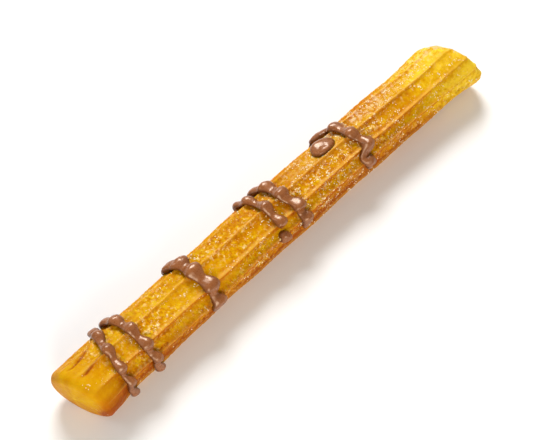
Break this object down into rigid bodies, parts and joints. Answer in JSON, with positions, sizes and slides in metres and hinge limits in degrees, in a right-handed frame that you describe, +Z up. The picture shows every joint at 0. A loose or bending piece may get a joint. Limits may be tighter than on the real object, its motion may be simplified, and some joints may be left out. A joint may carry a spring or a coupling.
{
  "type": "churro",
  "caption": "Stick of fried dough with raised lengthwise ridges and slanted rounded ends, crossed by a beaded drizzle of milk chocolate, lying flat.",
  "frame": {"origin": "middle of the whole part's bounding box, on the plane that it lies on", "axes": "+X along the stick from its near end, which the picture shows at the lower left, to its far end; +Z up; the drizzle's loose ends are on -Y, the front"},
  "size_m": [0.1984, 0.027, 0.0237],
  "materials": {
    "dough": "crisp golden fried dough, oily, with browner ridges and clinging sugar",
    "chocolate": "glossy set milk chocolate"
  },
  "bodies": {
    "root": {"dough": "dough", "chocolate_strand_1": "chocolate", "chocolate_strand_2": "chocolate", "chocolate_strand_3": "chocolate", "chocolate_strand_4": "chocolate", "chocolate_strand_5": "chocolate", "chocolate_strand_6": "chocolate", "chocolate_blob": "chocolate", "chocolate_drop": "chocolate"}
  },
  "joints": []
}
